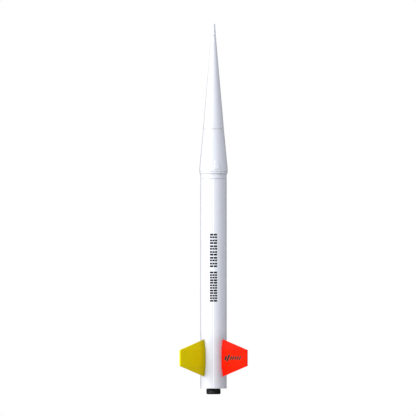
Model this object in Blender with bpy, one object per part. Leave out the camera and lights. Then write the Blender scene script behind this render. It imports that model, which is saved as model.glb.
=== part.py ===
"""A model rocket for 29 mm motors: a 3 inch body tube with four moulded fins and a pull-off nose cone.

Metres, with +Z up the rocket's axis, -Y to the front, and the origin at the middle of the retainer cap's
lower face.
"""

import math

import bmesh
import bpy

GAP = 0.0003  # between pieces that touch or are glued
STEPS = 48  # facets round the large turned pieces
SMALL_STEPS = 24  # facets round the small ones
TINY_STEPS = 16  # facets round lugs, washers and bolt holes
SMOOTH_ANGLE = math.radians(32)

# Body tube
TUBE_R = 0.0381
TUBE_WALL = 0.0013
TUBE_BORE = TUBE_R - TUBE_WALL
TUBE_FOOT = 0.0168
TUBE_LENGTH = 0.6096
TUBE_TOP = TUBE_FOOT + TUBE_LENGTH

# Motor mount
MOTOR_BORE = 0.0146
MOTOR_TUBE_R = 0.0156
MOTOR_TUBE_FOOT = 0.0058
MOTOR_TUBE_TOP = 0.2600
THRUST_RING_R = 0.0116
THRUST_RING_FOOT = 0.2500
THRUST_RING_HEIGHT = 0.0060
PLY = 0.0032  # thickness of the centering rings and of the nose bulkhead
RING_FEET = {"aft": 0.0170, "middle": 0.1470, "forward": 0.2520}

# Screw-on motor retainer
CAP_R = 0.02085
CAP_HEIGHT = 0.0146
CAP_ROUND = 0.0045
CAP_HOLE_R = 0.0132
CAP_LIP = 0.0024
THREAD_R = 0.0187
THREAD_DEPTH = 0.0005
THREAD_CLEARANCE = 0.0004
THREAD_PITCH = 0.0020
THREAD_TURNS = 4
THREAD_FOOT = 0.0058
FLANGE_R = 0.0202
FLANGE_FOOT = 0.0150
FLANGE_TOP = 0.0166

# Fins
FIN_ROOT_FOOT = 0.0513
FIN_ROOT_TOP = 0.1601
FIN_TIP_FOOT = 0.0823
FIN_TIP_TOP = 0.1290
FIN_TIP_R = 0.1384
FIN_ROOT_HALF = 0.0053  # half thicknesses
FIN_TIP_HALF = 0.0023
FIN_EDGE_HALF = 0.0005
FIN_WALL = 0.0016
FIN_ROOT_WALL = 0.0024
TAB_HALF = 0.0016
TAB_FOOT = 0.0660
TAB_TOP = 0.1460
SLOT_CLEARANCE = 0.0004
FIN_ANGLES = {  # about Z, from +X
    "front_right": math.radians(-45),
    "back_right": math.radians(45),
    "back_left": math.radians(135),
    "front_left": math.radians(225),
}
RED_FINS = ("front_right", "back_left")

# Launch lugs
LUG_R = 0.00445
LUG_BORE = 0.00355
LUG_LENGTH = 0.0500
LUG_FEET = {"aft": 0.0800, "forward": 0.3600}

# Nose cone, from the shoulder up
SHOULDER_R = 0.0365
SHOULDER_WALL = 0.0016
SHOULDER_FOOT = 0.5514
SHOULDER_LIP = 0.0015
COLLAR_FOOT = TUBE_TOP + GAP
COLLAR_TOP = 0.6540
CONE_BASE_R = 0.0409
CONE_WALL = 0.0018
CONE_FOOT = 0.6414
CONE_BAND_TOP = 0.6559
GROOVE_HEIGHT = 0.6472
GROOVE_DEPTH = 0.0004
AFT_TOP = 0.7712
AFT_TOP_R = 0.0301
SPIGOT_LENGTH = 0.0108
FORWARD_TOP = 1.0424
FORWARD_TOP_R = 0.0067
TIP_TOP = 1.0804
TIP_ROUND = 0.0043
TENON_R = 0.0045
TENON_LENGTH = 0.0104

# Fairing on the nose cone
FAIRING_FOOT = 0.6548
FAIRING_TOP = 0.6821
FAIRING_HALF = 0.0088
ARCH_FOOT = 0.6707
ARCH_HALF = 0.0070
ARCH_POINTS = 12
FAIRING_TURN = math.radians(15)  # from the front, towards +X
FAIRING_RISE_FOOT = 0.0023  # how far it stands out from the cone
FAIRING_RISE_TOP = 0.0009

# Eye bolts
WIRE_R = 0.0016
EYE_R = 0.0055
EYE_OPENING = math.radians(32)
EYE_POINTS = 16
BOLT_HOLE_R = 0.0020
NUT_R = 0.0044
NUT_HEIGHT = 0.0026
BOLT_PAST_NUT = 0.0015
WASHER_R = 0.0052
WASHER_HEIGHT = 0.0010
ANCHOR_X = 0.0262
ANCHOR_EYE = 0.2680
NOSE_EYE = 0.5410

# Rolled parachute
PACK_R = 0.0310
PACK_FOOT = 0.2862
PACK_TOP = 0.4550
PACK_ROUND = 0.0120


def material(name, colour, roughness, metallic=0.0):
    made = bpy.data.materials.new(name)
    made.use_nodes = True
    shader = made.node_tree.nodes["Principled BSDF"]
    shader.inputs["Base Color"].default_value = (*colour, 1.0)
    shader.inputs["Roughness"].default_value = roughness
    shader.inputs["Metallic"].default_value = metallic
    return made


def add(name, data, finish, parent=None):
    """Links the data as a named piece with its own material."""
    piece = bpy.data.objects.new(name, data)
    piece.data.materials.append(finish)
    piece.parent = parent
    bpy.context.scene.collection.objects.link(piece)
    return piece


def mesh_from(bm, name):
    bmesh.ops.recalc_face_normals(bm, faces=bm.faces)
    mesh = bpy.data.meshes.new(name)
    bm.to_mesh(mesh)
    bm.free()
    mesh.shade_smooth()
    mesh.set_sharp_from_angle(angle=SMOOTH_ANGLE)
    return mesh


def turned_mesh(name, outline, steps):
    """A body turned about Z from an outline of (radius, height) points. It may start and end on the axis."""
    bm = bmesh.new()
    points = [bm.verts.new((radius, 0.0, height)) for radius, height in outline]
    edges = []
    for here, after in zip(points, points[1:] + points[:1]):
        if here.co.x > 0 or after.co.x > 0:
            edges.append(bm.edges.new((here, after)))
    bmesh.ops.spin(bm, geom=points + edges, axis=(0, 0, 1), cent=(0, 0, 0), angle=math.tau, steps=steps)
    bmesh.ops.remove_doubles(bm, verts=bm.verts, dist=1e-6)
    return mesh_from(bm, name)


def turned(name, outline, finish, steps=STEPS, parent=None):
    return add(name, turned_mesh(name, outline, steps), finish, parent)


def ring(inner, outer, foot, top):
    """The outline of a plain ring."""
    return [(inner, top), (outer, top), (outer, foot), (inner, foot)]


def disc(outer, foot, top):
    return [(0.0, top), (outer, top), (outer, foot), (0.0, foot)]


def arc(centre_r, centre_z, radius, start, end, count):
    """Points of an arc in the (radius, height) plane, between two angles from the radius axis."""
    angles = [start + (end - start) * i / count for i in range(count + 1)]
    return [(centre_r + radius * math.cos(a), centre_z + radius * math.sin(a)) for a in angles]


def block_mesh(name, low, high):
    """A box between two corners."""
    bm = bmesh.new()
    bmesh.ops.create_cube(bm, size=1.0)
    for vert in bm.verts:
        vert.co = [(a + b) / 2 + (b - a) * c for a, b, c in zip(low, high, vert.co)]
    return mesh_from(bm, name)


def boolean(piece, operation, suffix, mesh, parent=None):
    """Cuts the mesh from a piece, or joins it on. It is held by a hidden helper object, which is returned."""
    helper = bpy.data.objects.new(f"{piece.name}_{suffix}", mesh)
    helper.parent = parent
    helper.hide_render = True
    helper.display_type = "WIRE"
    bpy.context.scene.collection.objects.link(helper)
    modifier = piece.modifiers.new(suffix, "BOOLEAN")
    modifier.operation = operation
    modifier.solver = "EXACT"
    modifier.object = helper
    return helper


def drill(piece, x, foot, top):
    """A bolt hole along Z, between two heights."""
    outline = disc(BOLT_HOLE_R, foot - GAP, top + GAP)
    boolean(piece, "DIFFERENCE", "hole", turned_mesh("hole", outline, TINY_STEPS)).location.x = x


def empty(name, parent=None):
    made = bpy.data.objects.new(name, None)
    made.parent = parent
    bpy.context.scene.collection.objects.link(made)
    return made


# ---- airframe ----


def build_tube(airframe, paint):
    tube = turned("body_tube", ring(TUBE_BORE, TUBE_R, TUBE_FOOT, TUBE_TOP), paint, parent=airframe)
    half = TAB_HALF + SLOT_CLEARANCE
    low = (TUBE_BORE - half, -half, TAB_FOOT - SLOT_CLEARANCE)
    high = (TUBE_R + half, half, TAB_TOP + SLOT_CLEARANCE)
    for place, angle in FIN_ANGLES.items():
        slot = boolean(tube, "DIFFERENCE", f"slot_{place}", block_mesh("slot", low, high))
        slot.rotation_euler.z = angle


def build_motor_mount(airframe, card, wood):
    outline = ring(MOTOR_BORE, MOTOR_TUBE_R, MOTOR_TUBE_FOOT, MOTOR_TUBE_TOP)
    turned("motor_mount_tube", outline, card, SMALL_STEPS, airframe)
    outline = ring(THRUST_RING_R, MOTOR_BORE - GAP, THRUST_RING_FOOT, THRUST_RING_FOOT + THRUST_RING_HEIGHT)
    turned("motor_thrust_ring", outline, card, SMALL_STEPS, airframe)
    for place, foot in RING_FEET.items():
        outline = ring(MOTOR_TUBE_R + GAP, TUBE_BORE - GAP, foot, foot + PLY)
        plate = turned(f"centering_ring_{place}", outline, wood, parent=airframe)
        if place == "forward":
            drill(plate, ANCHOR_X, foot, foot + PLY)


def build_retainer_body(airframe, metal):
    """The threaded ring glued on the motor tube. Its thread is drawn as plain ridges."""
    bore = MOTOR_TUBE_R + GAP
    root = THREAD_R - THREAD_DEPTH
    outline = [(bore, FLANGE_TOP), (FLANGE_R, FLANGE_TOP), (FLANGE_R, FLANGE_FOOT), (root, FLANGE_FOOT)]
    for turn in reversed(range(THREAD_TURNS)):
        foot = THREAD_FOOT + turn * THREAD_PITCH
        crest = THREAD_PITCH / 4
        outline += [(root, foot + 3 * crest), (THREAD_R, foot + 2 * crest)]
        outline += [(THREAD_R, foot + crest), (root, foot)]
    outline += [(root, THREAD_FOOT - THREAD_DEPTH), (bore, THREAD_FOOT - THREAD_DEPTH)]
    turned("retainer_body", outline, metal, SMALL_STEPS, airframe)


def fin_form(root_x, tip_x, floor, root_z, mid_z, root_half, tip_half, edge_half, side):
    """One half of a fin: a flat middle panel with a triangular facet fore and aft, tapering from root to tip.

    Local +X is outwards and local Y is the thickness. The half lies on the side given by the sign of side.
    """
    bm = bmesh.new()

    def vert(x, y, z):
        return bm.verts.new((x, side * y, z))

    root = [
        vert(root_x(floor), floor, root_z[0]),
        vert(root_x(edge_half), edge_half, root_z[0]),
        vert(root_x(root_half), root_half, mid_z[0]),
        vert(root_x(root_half), root_half, mid_z[1]),
        vert(root_x(edge_half), edge_half, root_z[1]),
        vert(root_x(floor), floor, root_z[1]),
    ]
    tip = [
        vert(tip_x, floor, mid_z[0]),
        vert(tip_x, tip_half, mid_z[0]),
        vert(tip_x, tip_half, mid_z[1]),
        vert(tip_x, floor, mid_z[1]),
    ]
    bm.faces.new(tip)
    bm.faces.new((root[0], root[1], root[4], root[5]))
    bm.faces.new((root[1], root[2], root[3], root[4]))
    bm.faces.new((root[0], root[5], tip[3], tip[0]))
    bm.faces.new((root[0], root[1], tip[1], tip[0]))
    bm.faces.new((root[4], root[5], tip[3], tip[2]))
    bm.faces.new((root[1], root[2], tip[1]))
    bm.faces.new((root[2], root[3], tip[2], tip[1]))
    bm.faces.new((root[3], root[4], tip[2]))
    return mesh_from(bm, "fin_form")


def fin_edge_inset(half):
    """How far in from the root's sharp edge the fin is this much thicker than the edge, per side."""
    rise = (FIN_ROOT_HALF - FIN_EDGE_HALF) / (FIN_TIP_FOOT - FIN_ROOT_FOOT)
    return half / rise


def build_fin_shells(place, angle, airframe, finish):
    """A fin is two hollow moulded shells, glued at its middle plane, with a tab through the tube wall."""
    hub = empty(f"fin_{place}", airframe)
    hub.rotation_euler.z = angle
    seat = TUBE_R + GAP

    def on_tube(y):
        return math.sqrt(seat**2 - y**2)

    def pocket_root(_):
        return seat + FIN_ROOT_WALL

    for number, side in enumerate((1, -1), start=1):
        form = fin_form(
            on_tube,
            FIN_TIP_R,
            GAP / 2,
            (FIN_ROOT_FOOT, FIN_ROOT_TOP),
            (FIN_TIP_FOOT, FIN_TIP_TOP),
            FIN_ROOT_HALF,
            FIN_TIP_HALF,
            FIN_EDGE_HALF,
            side,
        )
        shell = add(f"fin_{place}_shell_{number}", form, finish, hub)
        inset = fin_edge_inset(FIN_WALL)
        pocket = fin_form(
            pocket_root,
            FIN_TIP_R - FIN_ROOT_WALL,
            -FIN_WALL,
            (FIN_ROOT_FOOT + inset, FIN_ROOT_TOP - inset),
            (FIN_TIP_FOOT + FIN_WALL, FIN_TIP_TOP - FIN_WALL),
            FIN_ROOT_HALF - FIN_WALL,
            FIN_TIP_HALF - FIN_WALL,
            FIN_EDGE_HALF,
            side,
        )
        boolean(shell, "DIFFERENCE", "pocket", pocket, hub)
        near, far = sorted((side * GAP / 2, side * TAB_HALF))
        low = (MOTOR_TUBE_R + GAP, near, TAB_FOOT)
        high = (seat + FIN_ROOT_WALL / 2, far, TAB_TOP)
        boolean(shell, "UNION", "tab", block_mesh("tab", low, high), hub)


def build_lugs(airframe, card):
    outline = ring(LUG_BORE, LUG_R, 0.0, LUG_LENGTH)
    for place, foot in LUG_FEET.items():
        lug = turned(f"launch_lug_{place}", outline, card, TINY_STEPS, airframe)
        lug.location = (0.0, TUBE_R + GAP + LUG_R, foot)


def build_eye_bolt(name, x, eye_z, shank_end, metal, parent):
    """An eye bent from wire: a straight shank along Z, then a loop that stops short of closing."""
    towards_shank = math.copysign(EYE_R, shank_end - eye_z)
    points = [(0.0, shank_end)]
    for i in range(EYE_POINTS + 1):
        turn = (math.tau - EYE_OPENING) * i / EYE_POINTS
        points.append((EYE_R * math.sin(turn), eye_z + towards_shank * math.cos(turn)))
    curve = bpy.data.curves.new(name, "CURVE")
    curve.dimensions = "3D"
    curve.bevel_depth = WIRE_R
    curve.bevel_resolution = 2
    curve.use_fill_caps = True
    spline = curve.splines.new("POLY")
    spline.points.add(len(points) - 1)
    for point, (across, height) in zip(spline.points, points):
        point.co = (across, 0.0, height, 1.0)
    bolt = add(name, curve, metal, parent)
    bolt.location.x = x


def build_nut(name, x, foot, metal, parent):
    """A hexagon nut."""
    nut = turned(name, disc(NUT_R, foot, foot + NUT_HEIGHT), metal, 6, parent)
    nut.location.x = x
    drill(nut, x, foot, foot + NUT_HEIGHT)


def build_parachute(airframe, nylon):
    """The parachute and its lines, rolled into a soft bundle."""
    corner = PACK_R - PACK_ROUND
    outline = [(0.0, PACK_TOP)]
    outline += arc(corner, PACK_TOP - PACK_ROUND, PACK_ROUND, math.pi / 2, 0, 4)
    outline += arc(corner, PACK_FOOT + PACK_ROUND, PACK_ROUND, 0, -math.pi / 2, 4)
    outline += [(0.0, PACK_FOOT)]
    turned("parachute_pack", outline, nylon, SMALL_STEPS, airframe)


# ---- nose ----


def cone_radius(height):
    """Outer radius of the aft cone above its band."""
    along = (height - CONE_BAND_TOP) / (AFT_TOP - CONE_BAND_TOP)
    return CONE_BASE_R + (AFT_TOP_R - CONE_BASE_R) * along


def forward_radius(height):
    along = (height - AFT_TOP) / (FORWARD_TOP - AFT_TOP)
    return AFT_TOP_R + (FORWARD_TOP_R - AFT_TOP_R) * along


def build_shoulder(nose, paint):
    inner = SHOULDER_R - SHOULDER_WALL
    lip_top = SHOULDER_FOOT + SHOULDER_LIP / 2
    outline = [
        (inner, COLLAR_TOP),
        (TUBE_R, COLLAR_TOP),
        (TUBE_R, COLLAR_FOOT),
        (SHOULDER_R, COLLAR_FOOT),
        (SHOULDER_R, SHOULDER_FOOT),
        (inner - SHOULDER_LIP, SHOULDER_FOOT),
        (inner - SHOULDER_LIP, lip_top),
        (inner, lip_top),
    ]
    turned("nose_shoulder", outline, paint, parent=nose)
    return lip_top + GAP


def build_aft_cone(nose, paint):
    sleeve = TUBE_R + GAP
    shelf = AFT_TOP - GAP
    spigot_top = AFT_TOP + SPIGOT_LENGTH
    spigot_foot_r = AFT_TOP_R - CONE_WALL - 2 * GAP
    spigot_top_r = forward_radius(spigot_top) - CONE_WALL - 2 * GAP
    slope = (CONE_BASE_R - AFT_TOP_R) / (AFT_TOP - CONE_BAND_TOP)
    sleeve_top = CONE_BAND_TOP + (CONE_BASE_R - CONE_WALL - sleeve) / slope
    outline = [
        (spigot_top_r - CONE_WALL, spigot_top),
        (spigot_top_r, spigot_top),
        (spigot_foot_r, shelf),
        (cone_radius(shelf), shelf),
        (CONE_BASE_R, CONE_BAND_TOP),
        (CONE_BASE_R, GROOVE_HEIGHT + GROOVE_DEPTH),
        (CONE_BASE_R - GROOVE_DEPTH, GROOVE_HEIGHT),
        (CONE_BASE_R, GROOVE_HEIGHT - GROOVE_DEPTH),
        (CONE_BASE_R, CONE_FOOT),
        (sleeve, CONE_FOOT),
        (sleeve, sleeve_top),
        (spigot_foot_r - CONE_WALL, shelf - 2 * CONE_WALL),
        (spigot_foot_r - CONE_WALL, shelf),
    ]
    turned("nose_cone_aft", outline, paint, parent=nose)


def build_forward_cone(nose, paint):
    top = FORWARD_TOP - GAP
    outline = [
        (FORWARD_TOP_R - CONE_WALL, top),
        (FORWARD_TOP_R, top),
        (AFT_TOP_R, AFT_TOP),
        (AFT_TOP_R - CONE_WALL, AFT_TOP),
    ]
    turned("nose_cone_forward", outline, paint, parent=nose)


def build_tip(nose, paint):
    centre = TIP_TOP - TIP_ROUND
    lean = math.atan2(FORWARD_TOP_R - TIP_ROUND, centre - FORWARD_TOP)
    outline = arc(0.0, centre, TIP_ROUND, math.pi / 2, lean, 6)
    outline[0] = (0.0, TIP_TOP)
    outline += [
        (FORWARD_TOP_R, FORWARD_TOP),
        (TENON_R, FORWARD_TOP),
        (TENON_R, FORWARD_TOP - TENON_LENGTH),
        (0.0, FORWARD_TOP - TENON_LENGTH),
    ]
    turned("nose_tip", outline, paint, SMALL_STEPS, nose)


def cone_form(name, rise_foot, rise_top, low, high):
    """The aft cone's outer form between two heights, grown by a rise that changes from foot to top."""
    outline = [(0.0, high), (cone_radius(high) + rise_top, high)]
    outline += [(CONE_BASE_R + rise_foot, CONE_BAND_TOP), (CONE_BASE_R + rise_foot, low), (0.0, low)]
    return turned_mesh(name, outline, STEPS)


def build_fairing(nose, paint):
    """A shallow arch-topped fairing that follows the cone, and thins towards its top."""
    turn = empty("fairing_turn", nose)
    turn.rotation_euler.z = FAIRING_TURN
    outline = [(-FAIRING_HALF, FAIRING_FOOT), (FAIRING_HALF, FAIRING_FOOT)]
    for i in range(ARCH_POINTS + 1):
        angle = math.pi * i / ARCH_POINTS
        outline.append((ARCH_HALF * math.cos(angle), ARCH_FOOT + (FAIRING_TOP - ARCH_FOOT) * math.sin(angle)))
    bm = bmesh.new()
    reach = CONE_BASE_R + 2 * FAIRING_RISE_FOOT
    face = [bm.verts.new((across, -reach, height)) for across, height in outline]
    back = [bm.verts.new((across, -AFT_TOP_R, height)) for across, height in outline]
    bm.faces.new(face)
    bm.faces.new(back)
    for i in range(len(outline)):
        after = (i + 1) % len(outline)
        bm.faces.new((face[i], face[after], back[after], back[i]))
    piece = add("nose_fairing", mesh_from(bm, "fairing"), paint, turn)
    low = FAIRING_FOOT - CONE_WALL
    high = FAIRING_TOP + CONE_WALL
    boolean(piece, "DIFFERENCE", "seat", cone_form("seat", GAP, GAP, low, high))
    boolean(piece, "INTERSECT", "crown", cone_form("crown", FAIRING_RISE_FOOT, FAIRING_RISE_TOP, low, high))


def build_bulkhead(foot, nose, wood, metal):
    top = foot + PLY
    plate = turned("nose_bulkhead", disc(SHOULDER_R - SHOULDER_WALL - GAP, foot, top), wood, parent=nose)
    drill(plate, 0.0, foot, top)
    washer = ring(BOLT_HOLE_R, WASHER_R, top + GAP, top + GAP + WASHER_HEIGHT)
    turned("nose_washer", washer, metal, TINY_STEPS, nose)
    nut_foot = top + WASHER_HEIGHT + 2 * GAP
    build_nut("nose_nut", 0.0, nut_foot, metal, nose)
    build_eye_bolt("nose_eye_bolt", 0.0, NOSE_EYE, nut_foot + NUT_HEIGHT + BOLT_PAST_NUT, metal, nose)


# ---- motor retainer ----


def build_cap(metal):
    """The cap turns about Z. A lip round its hole holds the motor in."""
    bore = THREAD_R + THREAD_CLEARANCE
    outline = [(bore, CAP_HEIGHT), (CAP_R, CAP_HEIGHT)]
    outline += arc(CAP_R - CAP_ROUND, CAP_ROUND, CAP_ROUND, 0, -math.pi / 2, 4)
    outline += [(CAP_HOLE_R, 0.0), (CAP_HOLE_R, CAP_LIP), (bore, CAP_LIP)]
    turned("retainer_cap", outline, metal)


def build():
    for old in list(bpy.data.objects):
        bpy.data.objects.remove(old)
    white = material("white_paint", (0.88, 0.89, 0.92), 0.28)
    yellow = material("yellow_plastic", (0.66, 0.50, 0.0), 0.35)
    red = material("red_plastic", (0.95, 0.02, 0.0), 0.35)
    black = material("black_anodised", (0.012, 0.012, 0.013), 0.35, 0.6)
    card = material("kraft_card", (0.42, 0.30, 0.19), 0.8)
    wood = material("plywood", (0.55, 0.40, 0.25), 0.7)
    steel = material("zinc_steel", (0.6, 0.6, 0.6), 0.3, 1.0)
    nylon = material("orange_nylon", (0.85, 0.20, 0.03), 0.6)

    airframe = empty("airframe")
    build_tube(airframe, white)
    build_motor_mount(airframe, card, wood)
    build_retainer_body(airframe, black)
    for place, angle in FIN_ANGLES.items():
        build_fin_shells(place, angle, airframe, red if place in RED_FINS else yellow)
    build_lugs(airframe, white)
    nut_foot = RING_FEET["forward"] - GAP - NUT_HEIGHT
    build_nut("anchor_nut", ANCHOR_X, nut_foot, steel, airframe)
    build_eye_bolt("anchor_eye_bolt", ANCHOR_X, ANCHOR_EYE, nut_foot - BOLT_PAST_NUT, steel, airframe)
    build_parachute(airframe, nylon)

    nose = empty("nose")
    bulkhead_foot = build_shoulder(nose, white)
    build_aft_cone(nose, white)
    build_forward_cone(nose, white)
    build_tip(nose, white)
    build_fairing(nose, white)
    build_bulkhead(bulkhead_foot, nose, wood, steel)

    build_cap(black)


build()
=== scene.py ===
"""The looks of the model rocket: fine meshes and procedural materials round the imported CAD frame.

Metres, with +Z up the rocket's axis and -Y to the front, as in the frame.
"""

import math

import bmesh
import bpy
from mathutils import Matrix, Vector


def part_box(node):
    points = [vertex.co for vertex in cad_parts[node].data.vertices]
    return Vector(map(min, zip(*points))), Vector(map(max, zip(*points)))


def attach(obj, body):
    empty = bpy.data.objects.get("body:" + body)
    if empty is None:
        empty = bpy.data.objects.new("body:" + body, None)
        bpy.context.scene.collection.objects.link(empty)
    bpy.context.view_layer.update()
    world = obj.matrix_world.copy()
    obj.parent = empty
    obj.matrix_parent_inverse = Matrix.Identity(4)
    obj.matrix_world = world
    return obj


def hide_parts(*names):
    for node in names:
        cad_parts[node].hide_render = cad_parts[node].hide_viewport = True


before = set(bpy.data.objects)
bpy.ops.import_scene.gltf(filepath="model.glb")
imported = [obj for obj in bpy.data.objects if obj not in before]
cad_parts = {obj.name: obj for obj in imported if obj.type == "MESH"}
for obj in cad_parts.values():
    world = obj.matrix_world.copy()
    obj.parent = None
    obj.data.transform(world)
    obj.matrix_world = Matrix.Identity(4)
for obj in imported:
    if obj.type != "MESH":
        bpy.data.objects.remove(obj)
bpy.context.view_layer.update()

MM = 0.001
FRONT = -math.pi / 2  # the angle about Z that faces the camera
STEPS = 192  # facets round the large turned pieces
SMALL_STEPS = 96
TINY_STEPS = 48
SMOOTH_ANGLE = math.radians(35)
CORNER_POINTS = 4  # steps on each rounded corner
CORNER_SHARE = 0.3  # the most of an edge that one rounded corner takes
CORNER_GUARD = 1.4  # how far out the points that keep the flats flat stand, in corner lengths
WELD = 0.01 * MM  # points closer than this are taken as one
FINE_WELD = 0.002 * MM
SAME = 1e-6  # radii closer than this are the same
COPLANAR = math.radians(0.5)
PARTING = 0.3 * MM  # gap between neighbouring CAD pieces
SOFT_EDGE = 0.25 * MM  # the rounding of most turned corners

# Camera, in metres
VIEW_WIDTH = 1.2085
VIEW_X = -0.016
VIEW_Z = 0.5412
VIEW_DISTANCE = 3.0

# Studio
SKY = (0.41, 0.43, 0.50)  # what lights the matt surfaces
WALL_FRONT = (0.20, 0.21, 0.23)  # what gloss reflects in front of the rocket and behind it
WALL_BACK = (0.04, 0.025, 0.012)
WALL_BLEND = (-0.1, 0.5)  # the directions' Y between which the front wall turns into the back one
FLOOR_HALF = 12.0  # metres
FLOOR_COLOUR = (0.50, 0.51, 0.53, 1.0)
SUNS = (  # name, azimuth from the front towards +X, elevation, strength, and width in degrees
    ("key", -45, 20, 2.72, 25),
    ("side", -66, 22, 1.55, 40),
    ("right_fill", 108, 45, 1.1, 40),
    ("back", 180, 40, 1.4, 30),
)

# Colours, where a pair is what the material drifts between
WHITE = (0.74, 0.75, 0.78)
# the paler colour of the painted highlight along the front seam
SEAM_HIGHLIGHT_COLOUR = (0.92, 0.92, 0.94)
JOINT_GRIME = (0.56, 0.56, 0.56)
BLACK = (0.0, 0.0, 0.0)
RED = ((0.90, 0.010, 0.0), (0.86, 0.008, 0.0))
YELLOW = ((0.82, 0.70, 0.0), (0.78, 0.67, 0.0))
ANODISED = ((0.015, 0.015, 0.016), (0.030, 0.029, 0.029))
CARD = ((0.50, 0.36, 0.23), (0.36, 0.25, 0.15))
CARD_LINE = (0.20, 0.13, 0.08)
PLY_FACE = ((0.66, 0.50, 0.33), (0.50, 0.35, 0.20))
PLY_DARK = (0.33, 0.21, 0.11)
ZINC = ((0.60, 0.60, 0.62), (0.66, 0.63, 0.56))
NYLON = ((0.85, 0.19, 0.03), (0.95, 0.30, 0.07))
BLACK_INK = (0.003, 0.003, 0.003)
GREEN_INK = (0.003, 0.022, 0.015)

# Patterns in the materials: millimetres, unless they say otherwise
JOINT_GRIME_CORE = 0.5  # distances from a joint where its grime is full and where it ends
JOINT_GRIME_EDGE = 1.0
SEAM_HIGHLIGHT_LINE = (1.0, 0.8)  # half widths where the painted highlight along the front seam ends and where it is full
FIN_SHADE = 0.22  # the share of light that the painted shade by the fins takes at most
FIN_SHADE_TOP = 190.0  # heights between which the painted shade comes in
FIN_SHADE_FULL = 150.0
FIN_SHADE_EASE = (25.0, 65.0)  # heights between which it fades towards the tube's foot
FIN_SHADE_FOOT = 0.6  # the share of it left at the foot
FIN_SHADE_MIDWAY = 0.35  # the share of it left midway between two fins
ROOT_SHADE = 0.28  # the share of light that the painted shade at a fin's root takes
ROOT_SHADE_FULL = 38.0  # distances from the axis where that is full and where it ends
ROOT_SHADE_END = 62.0
WOUND_PITCH = 95.0  # the tube's wound seam under its paint
WOUND_WIDTH = 1.6
WOUND_RELIEF = 0.5  # as a share of the paint's relief
KRAFT_PITCH = 38.0
KRAFT_LINE = 0.8
PLY_PAIR = 1.6  # a pale and a dark ply
RIPSTOP_GRID = 5.0
RIPSTOP_R = 31.0
RIPSTOP_WEAVE = 14.0  # radians to a millimetre

# Airframe
TUBE_WALL = 1.3 * MM
TUBE_EDGE = 0.3 * MM
SLOT_HALF = 2.0 * MM
SLOT_FOOT = 65.6 * MM
SLOT_TOP = 146.4 * MM
SLOT_OVERRUN = 3 * MM
SEAM_HALF = 0.9 * MM
SEAM_RISE = 0.16 * MM
SEAM_POINTS = 6  # on each side of its middle
MOTOR_WALL = 1.0 * MM
THRUST_BORE = 11.6 * MM
PLY_EDGE = 0.35 * MM
BOLT_HOLE_R = 2.0 * MM
WASHER_EDGE = 0.2 * MM
FIN_ROOT_HALF = 5.3 * MM  # half thicknesses of the fins' middle panel
FIN_TIP_HALF = 2.3 * MM
FIN_TIP_R = 138.4 * MM
FIN_BEVEL = 0.25 * MM
FIN_CREASE = math.radians(5)
FIN_PLACES = {"front_right": -45, "back_right": 45, "back_left": 135, "front_left": 225}
RED_FINS = ("front_right", "back_left")

# Retainer
CAP_HOLE_R = 13.2 * MM
CAP_LIP = 2.4 * MM
CAP_ROUND = 4.5 * MM
CAP_ROUND_STEPS = 12
CAP_BORE = 19.1 * MM
CAP_BORE_ROWS = 96
CAP_THREAD_DEPTH = 0.3 * MM
CAP_PLAIN = 0.6 * MM  # above the knurling
CAP_GROOVES = (7.0 * MM, 10.6 * MM)  # heights of the two grooves between the knurled bands
CAP_GROOVE_HALF = 0.5 * MM
CAP_GROOVE_DEPTH = 0.45 * MM
KNURL_TEETH = 72
KNURL_DEPTH = 0.22 * MM
THREAD_PITCH = 2.0 * MM
THREAD_DEPTH = 0.5 * MM
THREAD_CLEARANCE = 0.4 * MM
THREAD_ROWS = 12  # to a turn
THREAD_RUN_OUT = 0.5 * MM
THREAD_SLOPE = 1.6  # with the next, these give a thread its flat crest and root
THREAD_ROOT = 0.3
FLANGE_HEIGHT = 1.6 * MM

# Launch lugs
LUG_WALL = 0.9 * MM
BEAD_HALF = 4.2 * MM
BEAD_OVERRUN = 1.5 * MM
BEAD_STEPS = 12  # on each side of its middle
BEAD_RISE = 0.75  # of the lug's radius
BEAD_EDGE = 0.05 * MM  # how far its visible edges sink into the tube
BEAD_SUNK = 0.4 * MM  # how far its hidden side does
BEAD_UNDERCUT = 0.98  # the share of its width at the hidden side
BORE_OVERRUN = 9 * MM

# Nose
SHOULDER_WALL = 1.6 * MM
SHOULDER_LIP = 1.5 * MM
SHOULDER_CHAMFER = 0.6 * MM
CONE_WALL = 1.8 * MM
CONE_BAND = 14.5 * MM  # height of the straight band at the cone's foot
CONE_GROOVE = 5.8 * MM  # from the cone's foot to the groove
CONE_GROOVE_HALF = 0.6 * MM
CONE_GROOVE_DEPTH = 0.9 * MM
TIP_ROUND = 4.3 * MM
TIP_STEPS = 16
TENON_R = 4.5 * MM
TENON = 10.4 * MM
JOINT_CHAMFER = 0.2 * MM
JOINT_OPEN = 0.25 * MM  # how far each side of a visible joint is drawn back, so that it reads as a line
FAIRING_TURN = math.radians(15)  # from the front, towards +X
FAIRING_HALF = 8.8 * MM
FAIRING_FLANK = 15.9 * MM  # height of its straight sides
ARCH_HALF = 7.0 * MM
FAIRING_RISE_FOOT = 1.6 * MM
FAIRING_RISE_TOP = 0.5 * MM
FAIRING_RIM = 0.6 * MM  # width of its soft rim
FAIRING_LEAST = 0.05 * MM  # half width of its topmost row
FAIRING_ROWS = 40
FAIRING_COLUMNS = 16

# Eye bolts and nuts
WIRE_R = 1.6 * MM
WIRE_END = 0.86  # the share of its radius left at the chamfered end
EYE_R = 5.5 * MM
EYE_OPENING = math.radians(32)  # the gap where the wire meets its shank
EYE_POINTS = 64
WIRE_SIDES = 24
BOLT_PITCH = 0.7 * MM
BOLT_THREAD = 0.12 * MM
BOLT_ROWS = 8  # to a turn of the thread
NOSE_THREAD_LENGTH = 9.0 * MM
ANCHOR_THREAD_LENGTH = 8.0 * MM
NUT_STEPS = 72
NUT_CHAMFER = 0.4 * MM
NUT_EDGE = 0.08 * MM
NUT_GRIP = 0.1 * MM  # how much tighter its bore is than a bolt hole

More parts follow.
